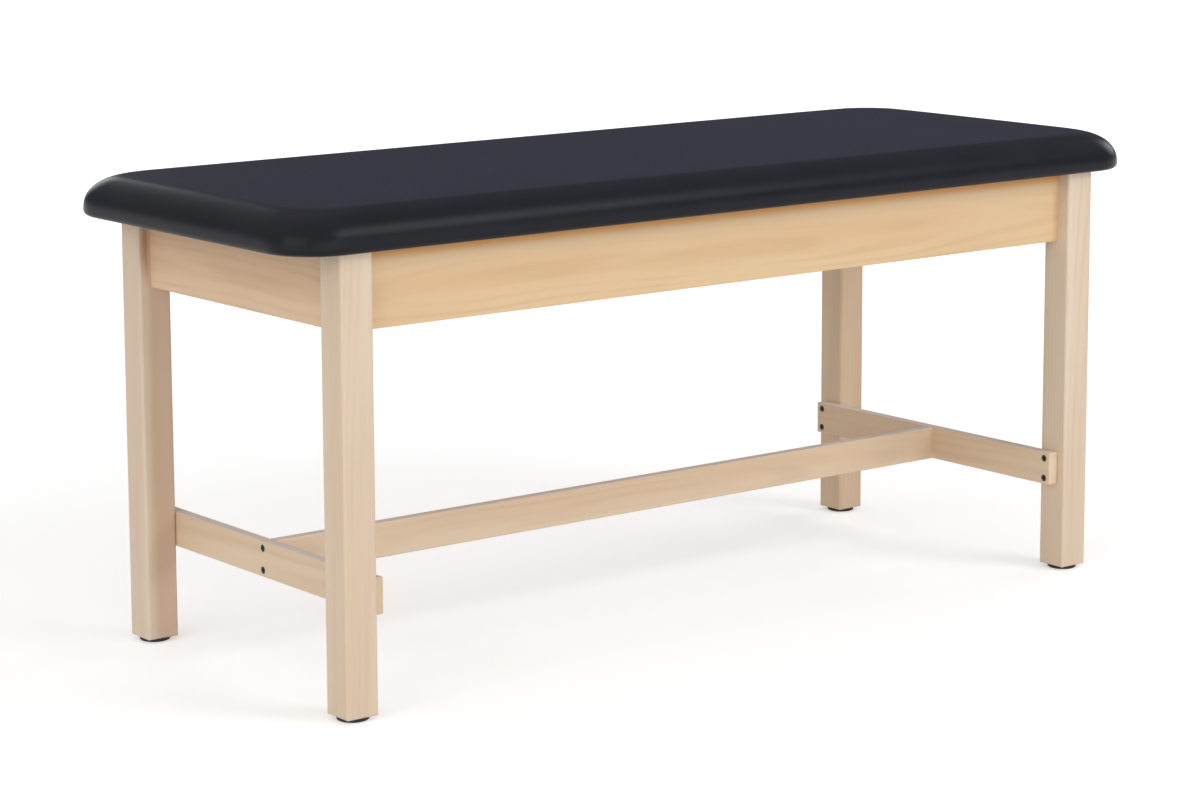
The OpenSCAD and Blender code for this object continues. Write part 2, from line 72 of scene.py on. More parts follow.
camera_data = bpy.data.cameras.new("camera")
camera_data.sensor_width = SENSOR_WIDTH
camera_data.lens = CAMERA_LENS
camera_data.shift_x, camera_data.shift_y = CAMERA_SHIFT
camera_data.clip_end = VIEW_RANGE

view_direction = Vector((
    math.sin(CAMERA_YAW) * math.cos(CAMERA_PITCH),
    math.cos(CAMERA_YAW) * math.cos(CAMERA_PITCH),
    -math.sin(CAMERA_PITCH),
))
camera = bpy.data.objects.new("camera", camera_data)
bpy.context.scene.collection.objects.link(camera)
camera.location = CAMERA_PLACE
camera.rotation_mode = "QUATERNION"
level_turn = view_direction.to_track_quat("-Z", "Y")
camera.rotation_quaternion = level_turn @ Quaternion((0, 0, 1), CAMERA_ROLL)
bpy.context.scene.camera = camera
print("camera looks along", [round(v, 3) for v in view_direction])

# %% [markdown]
# ## Helpers
#
# Every finish below is a small network of shader nodes. A few helpers keep that readable: one makes
# a node with its settings and inputs in a single call, one starts a material with a Principled
# shader in it, and others each make a step that comes up again and again. The last three dress a
# piece and put new objects into the scene.

# %% Helpers that make nodes, materials and objects
# Most of a noise pattern lies between these values
NOISE_RANGE = (0.3, 0.7)


def srgb(red, green, blue):
    """A colour as a paint program shows it, 0 to 255, as the linear values that shaders use."""
    def linear(value):
        value = value / 255
        return value / 12.92 if value <= 0.04045 else ((value + 0.055) / 1.055) ** 2.4
    return (linear(red), linear(green), linear(blue), 1)


def add_node(tree, kind, inputs=(), **settings):
    """A new node. Inputs are (socket, value) pairs, where a value may be another node's output."""
    node = tree.nodes.new(kind)
    for name, value in settings.items():
        setattr(node, name, value)
    for socket, value in inputs:
        if isinstance(value, bpy.types.NodeSocket):
            tree.links.new(value, node.inputs[socket])
        else:
            node.inputs[socket].default_value = value
    return node


def new_material(name, roughness, specular=0.5, metallic=0.0):
    """A material with a Principled shader. Returns the material, its tree and the shader."""
    material = bpy.data.materials.new(name)
    material.use_nodes = True
    tree = material.node_tree
    shader = tree.nodes["Principled BSDF"]
    shader.inputs["Roughness"].default_value = roughness
    shader.inputs["Specular IOR Level"].default_value = specular
    shader.inputs["Metallic"].default_value = metallic
    return material, tree, shader


def place_in_piece(tree):
    """Where a point is: every piece has its origin at the world's, so this is its place there."""
    return add_node(tree, "ShaderNodeTexCoord").outputs["Object"]


def part_of(tree, vector, axis):
    """One part of a vector: X, Y or Z."""
    return add_node(tree, "ShaderNodeSeparateXYZ", [("Vector", vector)]).outputs[axis]


def facing_up(tree):
    """How far a face looks up: 1 for a level top, 0 for a side, -1 for an underside."""
    return part_of(tree, add_node(tree, "ShaderNodeNewGeometry").outputs["Normal"], "Z")


def scaled(tree, coordinates, scale):
    """Coordinates scaled along each axis."""
    return add_node(tree, "ShaderNodeMapping", [
        ("Vector", coordinates), ("Scale", scale),
    ]).outputs["Vector"]


def noise(tree, coordinates, features, detail=3, output="Fac"):
    """Noise with a number of features per metre along each axis."""
    return add_node(tree, "ShaderNodeTexNoise", [
        ("Vector", scaled(tree, coordinates, features)), ("Scale", 1), ("Detail", detail),
    ]).outputs[output]


def ramp(tree, value, low, high, out_low=0.0, out_high=1.0):
    """Maps low..high to out_low..out_high with a smooth step."""
    node = add_node(tree, "ShaderNodeMapRange", [
        ("Value", value), ("From Min", low), ("From Max", high),
        ("To Min", out_low), ("To Max", out_high),
    ], interpolation_type="SMOOTHSTEP")
    return node.outputs["Result"]


def mix_colours(tree, factor, first, second):
    """Blends two colours, each given as values or as another node's output."""
    node = add_node(tree, "ShaderNodeMix", data_type="RGBA")
    for socket, value in (("Factor_Float", factor), ("A_Color", first), ("B_Color", second)):
        target = next(s for s in node.inputs if s.identifier == socket)
        if isinstance(value, bpy.types.NodeSocket):
            tree.links.new(value, target)
        else:
            target.default_value = value
    return next(s for s in node.outputs if s.identifier == "Result_Color")


def math_node(tree, operation, first, second=0):
    """One sum on two values, each a number or another node's output."""
    return add_node(tree, "ShaderNodeMath", [(0, first), (1, second)],
                    operation=operation).outputs["Value"]


def vector_node(tree, operation, first, second, output="Vector"):
    """One sum on two vectors, each three numbers or another node's output."""
    return add_node(tree, "ShaderNodeVectorMath", [(0, first), (1, second)],
                    operation=operation).outputs[output]


def distance_from_zero(tree, vector):
    """The length of a vector."""
    return add_node(tree, "ShaderNodeVectorMath", [(0, vector)],
                    operation="LENGTH").outputs["Value"]


def add_bump(tree, shader, height, strength, distance):
    """Makes a surface look uneven: height is a pattern, and distance its full height in metres."""
    bump = add_node(tree, "ShaderNodeBump", [
        ("Height", height), ("Strength", strength), ("Distance", distance),
    ])
    tree.links.new(bump.outputs["Normal"], shader.inputs["Normal"])


def dress(piece, material):
    """Gives a piece its one material."""
    piece.data.materials.clear()
    piece.data.materials.append(material)


def add_object(name, data):
    """A new object in the scene, with a mesh or a lamp as its data."""
    made = bpy.data.objects.new(name, data)
    bpy.context.scene.collection.objects.link(made)
    return made


def mesh_object(name, form):
    """Turns a finished form into an object, and frees the form."""
    mesh = bpy.data.meshes.new(name)
    form.to_mesh(mesh)
    form.free()
    return add_object(name, mesh)


print("helpers ready")

# %% [markdown]
# ## Wood
#
# The frame is pale maple and beech under a satin lacquer. Wood is a solid with a pattern right
# through it, so its finish reads the piece's own coordinates instead of being wrapped round it. The
# growth rings are shells round the heart of the tree, twenty times longer than wide, so a board
# that is cut beside the heart shows them as long soft arches, and its cut ends show arcs. Each
# board comes from another place in the tree, and its grain follows its length. The rings are faint,
# because maple has no hard dark lines as pine has. Most of the look is in the fine fibres and in
# the slow change from one shade to another.

# %% The wood finish
GRAIN_TURNS = {
    "x": (0, 0, 0),
    "y": (0, 0, math.radians(-90)),
    "z": (0, math.radians(90), 0),
}
RING_GAP = 0.006
# Length of one wave of the Wave texture at a scale of 1
WAVE_LENGTH = 2 * math.pi / 20
# How often the fibres bend in a metre, and by how many metres: along the board, then across it
BEND_FEATURES = (1.3, 6, 6)
BEND_REACH = (0, 0.02, 0.02)
# The rings are drawn out along the heart
RING_SHAPE = (0.05, 1, 1)
# Features per metre of the patterns in the wood: along the board, then across it
FIBRES = (6, 420, 420)
FINE_FIBRES = (30, 1500, 1500)
PORES = (260, 2600, 2600)
DRIFT = (1.1, 16, 16)
CLOUD = (4, 30, 30)


def wood(name, node, colours, grain, place, figure, ring_gap=RING_GAP, roughness=0.5):
    """Wood for a node, with its grain along an axis and its middle at a place in the tree."""
    light, dark, line = colours
    low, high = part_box(node)
    middle = Euler(GRAIN_TURNS[grain]).to_matrix() @ ((low + high) / 2)
    material, tree, shader = new_material(name, roughness, specular=0.35)
    turned = add_node(tree, "ShaderNodeMapping", [
        ("Vector", place_in_piece(tree)), ("Rotation", GRAIN_TURNS[grain]),
        ("Location", Vector(place) - middle),
    ]).outputs["Vector"]

    # Slow waves bend the fibres a little, more across the board than along it
    bend = noise(tree, turned, BEND_FEATURES, detail=2, output="Color")
    bend = vector_node(tree, "ADD", bend, (-0.5, -0.5, -0.5))
    bend = vector_node(tree, "MULTIPLY", bend, BEND_REACH)
    bent = vector_node(tree, "ADD", turned, bend)

    # Growth rings: long shells round the heart of the tree
    rings = add_node(tree, "ShaderNodeTexWave", [
        ("Vector", scaled(tree, bent, RING_SHAPE)), ("Scale", WAVE_LENGTH / ring_gap),
        ("Distortion", 2.5), ("Detail", 2), ("Detail Scale", 0.08), ("Detail Roughness", 0.5),
    ], wave_type="RINGS", rings_direction="SPHERICAL", wave_profile="SIN").outputs["Fac"]
    ring_lines = ramp(tree, rings, 0.35, 1.0)

    # Long fibres, short pores and the slow drift of colour
    fibres = noise(tree, bent, FIBRES, detail=4)
    fine_fibres = noise(tree, bent, FINE_FIBRES, detail=2)
    pores = noise(tree, bent, PORES, detail=1)
    drift = noise(tree, turned, DRIFT, detail=2)
    cloud = noise(tree, turned, CLOUD)

    colour = mix_colours(tree, ramp(tree, drift, *NOISE_RANGE), light, dark)
    ring_share = math_node(tree, "MULTIPLY", ring_lines,
                           ramp(tree, cloud, 0.35, 0.7, 0.2 * figure, 1.8 * figure))
    colour = mix_colours(tree, ring_share, colour, line)
    # Thin layers over it: a pattern, the values where it starts and is full, its share, its tint
    for pattern, start, full, share, tint in (
        (fibres, 0.5, 0.75, 0.07, line),
        (fibres, 0.5, 0.25, 0.09, light),
        (fine_fibres, 0.55, 0.75, 0.09, line),
        (pores, 0.66, 0.76, 0.25, line),
    ):
        colour = mix_colours(tree, ramp(tree, pattern, start, full, 0.0, share), colour, tint)
    tree.links.new(colour, shader.inputs["Base Color"])

    gloss = ramp(tree, fine_fibres, *NOISE_RANGE, roughness - 0.06, roughness + 0.08)
    tree.links.new(gloss, shader.inputs["Roughness"])
    add_bump(tree, shader, math_node(tree, "ADD", fibres, fine_fibres),
             strength=0.25, distance=0.00012)
    return material


def recolour(material, share, colour):
    """Blends another colour over a finish, where share says so."""
    tree = material.node_tree
    base = tree.nodes["Principled BSDF"].inputs["Base Color"]
    tree.links.new(mix_colours(tree, share, base.links[0].from_socket, colour), base)


print("grain directions:", list(GRAIN_TURNS))

# %% [markdown]
# ## The boards
#
# Five sorts of board show. The legs and the brace are the palest, a little pink, and the back right
# leg is a darker, rosier copy, painted shade. The side aprons are more golden, and the end aprons
# are rosy too. The blocks, the rail and the dowels, which hardly show, are plain planed beech. A
# table of boards gives each its sort, the direction of its grain and where in the tree it was cut.

# %% Colours and figures of the sorts of wood
LEG_WOOD = (srgb(224, 206, 184), srgb(217, 194, 169), srgb(190, 157, 128))
# A darker, rosier copy of the leg wood, painted shade for the back right leg
SHADED_LEG_WOOD = (srgb(221, 196, 168), srgb(213, 185, 154), srgb(186, 148, 115))
APRON_WOOD = (srgb(223, 193, 151), srgb(216, 181, 137), srgb(192, 149, 103))
END_WOOD = (srgb(228, 199, 165), srgb(219, 184, 149), srgb(194, 150, 112))
BRACE_WOOD = (srgb(226, 204, 176), srgb(217, 190, 160), srgb(192, 158, 126))
HIDDEN_WOOD = (srgb(214, 184, 146), srgb(200, 166, 126), srgb(172, 134, 94))

# sort: its colours (light, dark, ring line) and how strongly its rings show
SORTS = {
    "leg": (LEG_WOOD, 0.09),
    "shaded_leg": (SHADED_LEG_WOOD, 0.12),
    "apron": (APRON_WOOD, 0.13),
    "end": (END_WOOD, 0.17),
    "brace": (BRACE_WOOD, 0.12),
    "hidden": (HIDDEN_WOOD, 0.3),
}

# node: sort, grain, place of its middle in the tree (along the grain, then across it twice)
BOARDS = {
    "leg_front_left": ("leg", "z", (0.5, 0.10, 0.03)),
    "leg_front_right": ("leg", "z", (0.9, -0.12, 0.05)),
    "leg_back_left": ("leg", "z", (0.2, -0.07, 0.01)),
    # The back right leg takes the darker copy, which is painted shade
    "leg_back_right": ("shaded_leg", "z", (-0.7, 0.09, -0.06)),
    "side_apron_front": ("apron", "x", (0.12, 0.09, 0.01)),
    "side_apron_back": ("apron", "x", (-0.4, -0.08, -0.02)),
    "end_apron_left": ("end", "y", (-0.25, 0.07, 0.02)),
    "end_apron_right": ("end", "y", (0.3, -0.09, -0.01)),
    "end_stretcher_left": ("brace", "y", (0.5, 0.11, 0.02)),
    "end_stretcher_right": ("brace", "y", (0.2, -0.10, 0.03)),
    "long_stretcher": ("brace", "x", (0.15, 0.06, 0.01)),
    "cross_rail": ("hidden", "y", (0.3, 0.02, 0.09)),
    "corner_block_front_left": ("hidden", "x", (0.4, 0.05, 0.07)),
    "corner_block_front_right": ("hidden", "x", (-0.3, 0.08, 0.04)),
    "corner_block_back_left": ("hidden", "x", (0.6, -0.06, 0.05)),
    "corner_block_back_right": ("hidden", "x", (-0.5, -0.04, 0.08)),
    "apron_dowels": ("hidden", "x", (0.7, 0.12, -0.04)),
    "rail_dowels": ("hidden", "y", (-0.6, 0.10, 0.06)),
}

# %% Dress every board
for node, (sort, grain, place) in BOARDS.items():
    colours, figure = SORTS[sort]
    dress(nodes[node], wood(f"{sort}_wood_{node}", node, colours, grain, place, figure))
print("boards dressed:", len(BOARDS))

# %% [markdown]
# ## Painted light and shade, and a streak
#
# Some boards carry colour that stands in for light and shade. The side aprons are painted paler
# towards the top, painted light that lifts the pad's shadow, and right under the pad they carry
# a painted amber shade. The far left leg has painted rosy shade on its inner side, and a brown
# mineral streak near its top. The upper faces of the brace get a pale painted sheen, a painted
# reflection. Bands across the board give the painted light, the amber shade and the inner shade.
# The distance from a point, measured along each axis in another length, gives the streak, and
# the direction that a face looks in gives the sheen.

# %% Paint the light, the shade and the sheen, and add the streak
# Depths below an apron's top, from full to none: the painted amber shade, then the painted light
PAINTED_SHADE_BAND = (0.006, 0.026)
PAINTED_LIGHT_BAND = (0.018, 0.075)
# Places along the table, from none to full, of the painted shade on the far left leg's inner side
INNER_SHADE_BAND = (-0.814, -0.796)
STREAK_CENTRE = (-0.812, 0.274, 0.69)
STREAK_REACH = (0.014, 0.02, 0.085)
STREAK_GRAIN = (300, 300, 8)

# Colours: painted amber shade, painted light, painted inner shade, the streak, painted sheen
PAINTED_SHADE_AMBER = srgb(208, 142, 68)
PAINTED_LIGHT_TINT = srgb(240, 211, 170)
INNER_SHADE_TINT = srgb(196, 160, 134)
STREAK_BROWN = srgb(158, 104, 80)
PAINTED_SHEEN = srgb(236, 231, 230)


def add_band(material, axis, none, full, share, colour):
    """Blends in a colour along an axis: none up to one place, its full share from another on."""
    tree = material.node_tree
    place = part_of(tree, place_in_piece(tree), axis)
    recolour(material, ramp(tree, place, none, full, 0.0, share), colour)


def add_painted_top_sheen(material, share, colour):
    """Paints a pale sheen on the faces that look up: a painted reflection."""
    tree = material.node_tree
    recolour(material, ramp(tree, facing_up(tree), 0.5, 0.9, 0.0, share), colour)


def add_streak(material, centre, reach, colour):
    """A soft streak round a point, broken up by the grain."""
    tree = material.node_tree
    place = place_in_piece(tree)
    offset = vector_node(tree, "SUBTRACT", place, centre)
    distance = distance_from_zero(tree, vector_node(tree, "DIVIDE", offset, reach))
    grain = noise(tree, place, STREAK_GRAIN)
    share = math_node(tree, "MULTIPLY", ramp(tree, distance, 1.0, 0.1, 0.0, 0.8),
                      ramp(tree, grain, 0.25, 0.6, 0.35, 1.0))
    recolour(material, share, colour)


# Painted light near each side apron's top, and a painted amber shade right under the pad
for node in ("side_apron_front", "side_apron_back"):
    apron_wood, top = nodes[node].data.materials[0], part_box(node)[1].z
    for band, share, colour in ((PAINTED_LIGHT_BAND, 0.5, PAINTED_LIGHT_TINT), (PAINTED_SHADE_BAND, 0.9, PAINTED_SHADE_AMBER)):
        add_band(apron_wood, "Z", top - band[1], top - band[0], share, colour)
# A pale painted sheen on the brace's upper faces, a painted reflection
for node in ("end_stretcher_left", "end_stretcher_right", "long_stretcher"):
    add_painted_top_sheen(nodes[node].data.materials[0], 0.55, PAINTED_SHEEN)
# Painted rosy shade on the far left leg's inner side, and a brown streak near its top
shaded_streaked_wood = nodes["leg_back_left"].data.materials[0]
add_band(shaded_streaked_wood, "X", *INNER_SHADE_BAND, 0.6, INNER_SHADE_TINT)
add_streak(shaded_streaked_wood, STREAK_CENTRE, STREAK_REACH, STREAK_BROWN)
print("marks made on", shaded_streaked_wood.name, "and five other boards")

# %% [markdown]
# ## Plywood
#
# The pad's board is birch plywood, seen only from below. Its face veneer is peeled off a turning
# log, so its figure is much wider than that of a sawn board, and its edge shows the plies as
# stripes. The stripes come from the height alone.

# %% The plywood finish
VENEER = (srgb(222, 200, 164), srgb(208, 180, 140), srgb(178, 142, 102))
VENEER_PLACE = (0.3, 0.25, -0.2)
VENEER_RING_GAP = 0.03
VENEER_FIGURE = 0.3
PALE_PLY = srgb(204, 172, 128)
DARK_PLY = srgb(168, 128, 86)
PLY_COUNT = 11
board_low, board_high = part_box("pad_board")


def plywood():
    """Birch plywood: a wide veneer figure on the faces and striped plies on the edges."""
    material = wood("birch_plywood", "pad_board", VENEER, "x", VENEER_PLACE, VENEER_FIGURE,
                    ring_gap=VENEER_RING_GAP)
    tree = material.node_tree
    shader = tree.nodes["Principled BSDF"]
    face_colour = shader.inputs["Base Color"].links[0].from_socket
    height = part_of(tree, place_in_piece(tree), "Z")
    ply = math_node(tree, "SUBTRACT", height, board_low.z)
    ply = math_node(tree, "DIVIDE", ply, (board_high.z - board_low.z) / PLY_COUNT)
    odd = math_node(tree, "PINGPONG", ply, 1)
    stripes = mix_colours(tree, ramp(tree, odd, 0.35, 0.65), PALE_PLY, DARK_PLY)
    on_face = ramp(tree, math_node(tree, "ABSOLUTE", facing_up(tree)), 0.4, 0.6)
    tree.links.new(mix_colours(tree, on_face, stripes, face_colour), shader.inputs["Base Color"])
    return material


dress(nodes["pad_board"], plywood())
print("plies:", PLY_COUNT)

# %% [markdown]
# ## Metal and plastic
#
# The bolts that show are blackened steel: nearly black, a little green, dull, with the bare metal
# starting to shine through in faint patches. The hidden hardware is zinc-plated, and the threaded
# inserts are brass. The glides are black nylon, scuffed where they meet the floor.

# %% Finishes of the hardware and the glides
METAL_CLOUD = (260, 260, 260)
METAL_MARKS = (900, 900, 5400)
NYLON_SCRATCHES = (500, 500, 100)
NYLON_GRAIN = (2200, 2200, 2200)
NYLON_BLACK = srgb(24, 24, 25)
SCUFF_GREY = srgb(70, 69, 68)
SCUFF_HEIGHT = 0.004


def metal(name, colour, worn_colour, roughness, metallic):
    """Metal with a slightly cloudy surface and fine turning marks."""
    material, tree, shader = new_material(name, roughness, metallic=metallic)
    place = place_in_piece(tree)
    cloud = noise(tree, place, METAL_CLOUD, detail=4)
    marks = noise(tree, place, METAL_MARKS, detail=2)
    base = mix_colours(tree, ramp(tree, cloud, 0.45, 0.75), colour, worn_colour)
    tree.links.new(base, shader.inputs["Base Color"])
    gloss = ramp(tree, marks, *NOISE_RANGE, roughness - 0.08, roughness + 0.1)
    tree.links.new(gloss, shader.inputs["Roughness"])
    add_bump(tree, shader, marks, strength=0.2, distance=0.00005)
    return material


def nylon():
    """Black moulded nylon, paler where it is scuffed near the floor."""
    material, tree, shader = new_material("black_nylon", roughness=0.5, specular=0.4)
    place = place_in_piece(tree)
    scratches = noise(tree, place, NYLON_SCRATCHES, detail=4)
    low_down = ramp(tree, part_of(tree, place, "Z"), SCUFF_HEIGHT, 0.0)
    scuffs = math_node(tree, "MULTIPLY", low_down, ramp(tree, scratches, 0.5, 0.7))
    base = mix_colours(tree, scuffs, NYLON_BLACK, SCUFF_GREY)
    tree.links.new(base, shader.inputs["Base Color"])
    grain = noise(tree, place, NYLON_GRAIN, detail=2)
    add_bump(tree, shader, grain, strength=0.3, distance=0.0001)
    return material


blackened_steel = metal("blackened_steel", srgb(44, 48, 46), srgb(70, 73, 70), 0.45, 0.6)
zinc_plate = metal("zinc_plate", srgb(196, 199, 202), srgb(170, 172, 172), 0.35, 1.0)
turned_brass = metal("turned_brass", srgb(206, 172, 98), srgb(186, 148, 78), 0.32, 1.0)
black_nylon = nylon()

for node in ("leg_bolts", "brace_bolts"):
    dress(nodes[node], blackened_steel)
for node in ("barrel_nuts", "hanger_bolts", "hanger_washers", "hanger_nuts", "block_screws",
             "top_screws", "glide_nails"):
    dress(nodes[node], zinc_plate)
dress(nodes["leg_inserts"], turned_brass)
glide_nodes = [name for name in nodes if name.startswith("glide_") and name != "glide_nails"]
for node in glide_nodes:
    dress(nodes[node], black_nylon)
print("glides:", sorted(glide_nodes))

# %% [markdown]
# ## The pad
#
# The pad is firm foam on the plywood board, under vinyl that is pulled tight and stapled
# underneath. It could be a rounded box from a bevel, but a bevel makes the corner sharper as the
# edge rolls over, and on the real pad the corner stays just as round from bottom to top. So the
# outline is built once, as a rectangle with bevelled corners, and pushed up through a row of
# levels. At each level the four corners slide outwards or inwards and keep their radius.
#
# The same steps, taken downwards and back in, make the vinyl that is turned in under the board and
# the pocket that the board sits in.

# %% Measures of the pad
cover_low, cover_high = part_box("pad_cover")
pad_length = cover_high.x - cover_low.x
pad_width = cover_high.y - cover_low.y
pad_height = cover_high.z - cover_low.z
vinyl_thickness = board_low.z - cover_low.z
board_margin = board_low.x - cover_low.x
CORNER_RADIUS = 0.082
TOP_ROLL = 0.050
BOTTOM_ROLL = 0.009
FLANGE_WIDTH = 0.120
BOARD_GAP = 0.0003
CORNER_SEGMENTS = 10
ROLL_SEGMENTS = 10
TUCK_SEGMENTS = 5
SIDE_SEGMENTS = 2
GRID_SPACING = 0.05
SWELL_ROOM = 0.002
print("pad:", [round(v, 4) for v in (pad_length, pad_width, pad_height)])

# %% Build the pad's form
def outline_face(bm, inset, z):
    """A flat face: the pad's outline, moved in by inset, with round corners."""
    grid = bmesh.ops.create_grid(bm, x_segments=1, y_segments=1, size=0.5)
    sides = (pad_length - 2 * inset, pad_width - 2 * inset, 1)
    bmesh.ops.scale(bm, vec=sides, verts=grid["verts"])
    bmesh.ops.translate(bm, vec=(0, 0, z), verts=grid["verts"])
    bmesh.ops.bevel(bm, geom=grid["verts"], offset=CORNER_RADIUS, segments=CORNER_SEGMENTS,
                    profile=0.5, affect="VERTICES", material=-1, clamp_overlap=False)
    return next(iter(bm.faces))


def push_face(bm, face, step_in, step_up):
    """Extrudes a face, then slides its four corners inwards and all of it upwards."""
    made = bmesh.ops.extrude_face_region(bm, geom=[face])["geom"]
    # An old face with walls on both sides would be left as a floor inside the form
    if any(len(edge.link_faces) > 2 for edge in face.edges):
        bmesh.ops.delete(bm, geom=[face], context="FACES_ONLY")
    face = next(g for g in made if isinstance(g, bmesh.types.BMFace))
    for side_x in (-1, 1):
        for side_y in (-1, 1):
            corner = [v for v in face.verts if v.co.x * side_x > 0 and v.co.y * side_y > 0]
            step = (-side_x * step_in, -side_y * step_in, step_up)
            bmesh.ops.translate(bm, vec=step, verts=corner)
    return face


def quarter_turn(radius, segments, rolls_in):
    """Steps in and up round a quarter circle: the tuck under the pad, or the roll on top."""
    steps = []
    for k in range(segments):
        a, b = (math.pi / 2 * i / segments for i in (k, k + 1))
        across = radius * (math.sin(b) - math.sin(a))
        along = radius * (math.cos(a) - math.cos(b))
        steps.append((along, across) if rolls_in else (-across, along))
    return steps


def build_pad(room):
    """The pad as a closed form with a pocket for its board, lower by room than it will be."""
    bm = bmesh.new()
    side_step = (pad_height - room - BOTTOM_ROLL - TOP_ROLL) / SIDE_SEGMENTS
    face = outline_face(bm, BOTTOM_ROLL, cover_low.z)
    for step_in, step_up in (quarter_turn(BOTTOM_ROLL, TUCK_SEGMENTS, rolls_in=False)
                             + [(0, side_step)] * SIDE_SEGMENTS
                             + quarter_turn(TOP_ROLL, ROLL_SEGMENTS, rolls_in=True)):
        face = push_face(bm, face, step_in, step_up)

    # The turned-in vinyl and the pocket of the board
    bottom = min(bm.faces, key=lambda f: f.calc_center_median().z)
    bottom = push_face(bm, bottom, FLANGE_WIDTH - BOTTOM_ROLL, 0)
    bottom = push_face(bm, bottom, 0, vinyl_thickness)
    bottom = push_face(bm, bottom, board_margin - BOARD_GAP - FLANGE_WIDTH, 0)
    push_face(bm, bottom, 0, board_high.z - board_low.z)
    bmesh.ops.recalc_face_normals(bm, faces=bm.faces)
    return bm


def cut_grid(bm, spacing):
    """Cuts the whole form along and across, so that its large flat faces become a grid."""
    for axis, size in ((Vector((1, 0, 0)), pad_length), (Vector((0, 1, 0)), pad_width)):
        count = round(size / spacing)
        for k in range(1, count):
            place = axis * size * (k / count - 0.5)
            everything = bm.verts[:] + bm.edges[:] + bm.faces[:]
            bmesh.ops.bisect_plane(bm, geom=everything, plane_co=place, plane_no=axis,
                                   dist=0.0001)
    large = [f for f in bm.faces if len(f.verts) > 4]
    bmesh.ops.triangulate(bm, faces=large)
    bmesh.ops.join_triangles(bm, faces=[f for f in bm.faces if len(f.verts) == 3],
                             angle_face_threshold=0.7, angle_shape_threshold=0.9)


pad_form = build_pad(SWELL_ROOM)
cut_grid(pad_form, GRID_SPACING)
pad = mesh_object("pad", pad_form)
print("pad faces:", len(pad.data.polygons))

# %% [markdown]
# ## Let the pad swell
#
# Foam presses the vinyl outwards, which softens every change of shape. A cloth simulation with
# pressure does the same. On its own, pressure would blow the flat top up like a balloon, so the
# foam's hold is in it too: each point is tied softly to where it was, and the more vinyl there is
# round it, the more firmly. The turned-in vinyl and the pocket are held fast, as the staples hold
# them. The pad was built a little low, and no point may move further than that room. The sides
# swell by less than half a millimetre.

# %% Swell the pad
SWELL_FRAMES = 20
FOAM_HOLD = 0.6
# How the hold follows the area of vinyl round a point: a power well below 1 evens it out
AREA_POWER = 0.25
SLACK = 0.001


def in_pocket(point):
    """Whether a point lies on the walls or the ceiling of the board's pocket."""
    return (point.z < board_high.z + SLACK and abs(point.x) < board_high.x + SLACK
            and abs(point.y) < board_high.y + SLACK)


def hold_by_foam(piece, group, held_below):
    """Weights for the hold: 1 where stapled, and elsewhere as much as foam holds there."""
    area = [0.0] * len(piece.data.vertices)
    for polygon in piece.data.polygons:
        for index in polygon.vertices:
            area[index] += polygon.area / len(polygon.vertices)
    largest = max(area)
    for vertex in piece.data.vertices:
        stapled = vertex.co.z < held_below or in_pocket(vertex.co)
        weight = 1.0 if stapled else FOAM_HOLD * (area[vertex.index] / largest) ** AREA_POWER
        group.add([vertex.index], weight, "REPLACE")


def swell(piece, held_below, most):
    """Runs a short cloth simulation with pressure, and moves each point by at most `most`."""
    held = piece.vertex_groups.new(name="held")
    hold_by_foam(piece, held, held_below)
    cloth = piece.modifiers.new("swell", "CLOTH")
    settings = cloth.settings
    settings.quality = 6
    settings.mass = 0.4
    settings.tension_stiffness = 15
    settings.compression_stiffness = 15
    settings.bending_stiffness = 2
    settings.vertex_group_mass = held.name
    settings.pin_stiffness = 1
    settings.use_pressure = True
    settings.uniform_pressure_force = 4
    settings.effector_weights.gravity = 0
    cloth.collision_settings.use_collision = False
    cloth.point_cache.frame_start = 1
    cloth.point_cache.frame_end = SWELL_FRAMES
    scene = bpy.context.scene
    for frame_number in range(1, SWELL_FRAMES + 1):
        scene.frame_set(frame_number)
    evaluated = piece.evaluated_get(bpy.context.evaluated_depsgraph_get())
    swollen = evaluated.to_mesh()
    longest = 0
    for vertex, moved in zip(piece.data.vertices, swollen.vertices):
        step = moved.co - vertex.co
        longest = max(longest, step.length)
        if step.length > most:
            step *= most / step.length
        vertex.co = vertex.co + step
    evaluated.to_mesh_clear()
    piece.modifiers.remove(cloth)
    piece.vertex_groups.remove(held)
    scene.frame_set(1)
    return longest


reach = swell(pad, cover_low.z + SLACK, SWELL_ROOM)
print("the cloth wanted to move", round(reach * 1000, 1), "mm")

for polygon in pad.data.polygons:
    polygon.use_smooth = True
smooth = pad.modifiers.new("smooth", "SUBSURF")
smooth.levels = 1
smooth.render_levels = 1

# %% [markdown]
# ## Vinyl
#
# Coated vinyl is a plastic skin with a fine pebbled grain. From a few steps away the grain isn't
# seen as bumps but as a dull sheen, so the shader is rough with a weak reflection, and the pebbles
# are cells of a Voronoi texture under a millimetre and a half across.

# %% The vinyl finish
PEBBLES = 800
VINYL_WRINKLES = (420, 420, 420)
VINYL_CLOUD = (9, 9, 9)
VINYL_ROUGHNESS = (0.28, 0.36)
VINYL_DARK = srgb(26, 27, 33)
VINYL_LIGHT = srgb(29, 30, 37)
# Painted shade in the hollows of the grain
VINYL_HOLLOW_SHADE = srgb(22, 22, 27)


